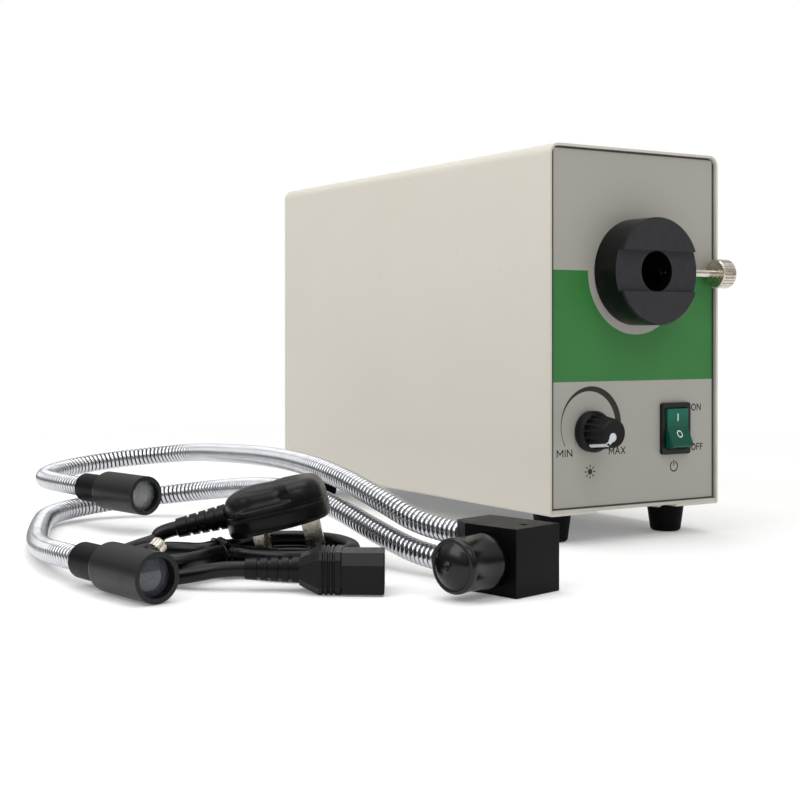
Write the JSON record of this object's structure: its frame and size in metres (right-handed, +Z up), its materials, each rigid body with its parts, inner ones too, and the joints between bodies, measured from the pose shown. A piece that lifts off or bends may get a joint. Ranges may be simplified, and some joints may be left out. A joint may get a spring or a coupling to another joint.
{
  "type": "fiber optic illuminator",
  "caption": "Cold-light source: a sheet-metal case with LED engine, dimmer, power switch and fan, with a clamped socket for a two-arm gooseneck fibre light guide and a mains lead",
  "frame": {"origin": "on the table, under the middle of the case", "axes": "+Z up, front panel facing -Y, clamp screw on the +X side"},
  "size_m": [0.3445, 0.3788, 0.195],
  "materials": {
    "cover_paint": "satin powder coat, warm light grey",
    "galvanised": "plain zinc-coated sheet",
    "panel_paint": "satin paint, mid grey with a green band",
    "black_anodised": "matt black anodised",
    "nickel": "nickel-plated",
    "zinc_steel": "zinc-plated",
    "polished_steel": "bright",
    "rubber_black": "black",
    "knob_black": "black moulded",
    "pointer_white": "white",
    "rocker_green": "translucent green",
    "brass_plated": "plated brass",
    "lens_glass": "clear",
    "board_green": "solder mask",
    "board_white": "white solder mask on an aluminium core",
    "core_steel": "wound and taped",
    "can_blue": "sleeved can",
    "potentiometer_metal": "plated can",
    "cord_black": "black PVC"
  },
  "bodies": {
    "housing": {"block_set_screw": "nickel", "board_screws": "zinc_steel", "board_standoffs": "zinc_steel", "capacitors": "can_blue", "case_screws": "zinc_steel", "chassis_base": "galvanised", "condenser_lens": "lens_glass", "connector_c13": "cord_black", "cover": "cover_paint", "driver_board": "board_green", "engine_bracket": "galvanised", "fan_frame": "knob_black", "fan_guard": "nickel", "fan_screws": "zinc_steel", "feet": "rubber_black", "foot_screws": "zinc_steel", "front_panel": "panel_paint", "guide_block": "black_anodised", "guide_ferrule": "black_anodised", "guide_socket": "black_anodised", "head_sleeves": "black_anodised", "heat_sink": "black_anodised", "hose_lower": "polished_steel", "hose_upper": "polished_steel", "inlet_pins": "brass_plated", "inlet_screws": "zinc_steel", "lead_hank": "cord_black", "lead_tails": "cord_black", "lead_tie": "cord_black", "led_board": "board_white", "lens_tube": "black_anodised", "m3_nuts": "zinc_steel", "m4_nuts": "zinc_steel", "mains_inlet": "knob_black", "plug_body": "cord_black", "plug_pins": "nickel", "potentiometer": "potentiometer_metal", "potentiometer_nut": "nickel", "rear_panel": "cover_paint", "socket_nut": "black_anodised", "strain_reliefs": "cord_black", "switch_body": "knob_black", "switch_terminals": "brass_plated", "transformer": "core_steel"},
    "knob": {"intensity_knob": "knob_black", "knob_pointer": "pointer_white", "potentiometer_shaft": "nickel"},
    "rocker_key": {"rocker": "rocker_green"},
    "clamp_shank": {"clamp_screw": "nickel"},
    "clamp_head": {"clamp_knob": "nickel"},
    "fan": {"fan_rotor": "knob_black"},
    "barrel_upper": {"lens_barrel_upper": "black_anodised", "head_lens_upper": "lens_glass"},
    "barrel_lower": {"lens_barrel_lower": "black_anodised", "head_lens_lower": "lens_glass"},
    "lock_upper": {"lock_screw_upper": "nickel"},
    "lock_lower": {"lock_screw_lower": "nickel"},
    "cap": {"ferrule_cap": "rubber_black"},
    "drawer": {"fuse_drawer": "knob_black", "fuse": "lens_glass"}
  },
  "joints": [
    {"name": "knob_turn", "type": "hinge", "parent": "housing", "child": "knob", "pos_m": [-0.0292, -0.1265, 0.0552], "axis": [0, 1, 0], "range_deg": [0, 280]},
    {"name": "rocker_tip", "type": "hinge", "parent": "housing", "child": "rocker_key", "pos_m": [0.0263, -0.1271, 0.0548], "axis": [1, 0, 0], "range_deg": [0, 24]},
    {"name": "clamp_travel", "type": "slide", "parent": "housing", "child": "clamp_shank", "axis": [1, 0, 0], "range_m": [-0.00212, 0.00212]},
    {"name": "clamp_turn", "type": "hinge", "parent": "clamp_shank", "child": "clamp_head", "pos_m": [0.0455, -0.1349, 0.1336], "axis": [1, 0, 0], "range_deg": [-1080, 1080]},
    {"name": "fan_spin", "type": "hinge", "parent": "housing", "child": "fan", "pos_m": [0, 0.128, 0.1336], "axis": [0, 1, 0], "continuous": true},
    {"name": "focus_upper", "type": "slide", "parent": "housing", "child": "barrel_upper", "axis": [0.225, -0.9744, 0], "range_m": [-0.0025, 0.005]},
    {"name": "lock_turn_upper", "type": "hinge", "parent": "barrel_upper", "child": "lock_upper", "pos_m": [-0.19927, 0.03002, 0.01792], "axis": [0.9531, 0.22, -0.2079], "range_deg": [-180, 180]},
    {"name": "focus_lower", "type": "slide", "parent": "housing", "child": "barrel_lower", "axis": [0.1736, -0.9848, 0], "range_m": [-0.0025, 0.005]},
    {"name": "lock_turn_lower", "type": "hinge", "parent": "barrel_lower", "child": "lock_lower", "pos_m": [-0.26701, -0.1422, 0.01666], "axis": [0.7432, 0.1311, 0.6561], "range_deg": [-180, 180]},
    {"name": "cap_pull", "type": "slide", "parent": "housing", "child": "cap", "axis": [-0.9744, -0.225, 0], "range_m": [0, 0.019]},
    {"name": "drawer_pull", "type": "slide", "parent": "housing", "child": "drawer", "axis": [0, 1, 0], "range_m": [0, 0.015]}
  ],
  "couplings": [
    {"joint": "clamp_travel", "follows": "clamp_turn", "m_per_rad": 0.00011141}
  ]
}
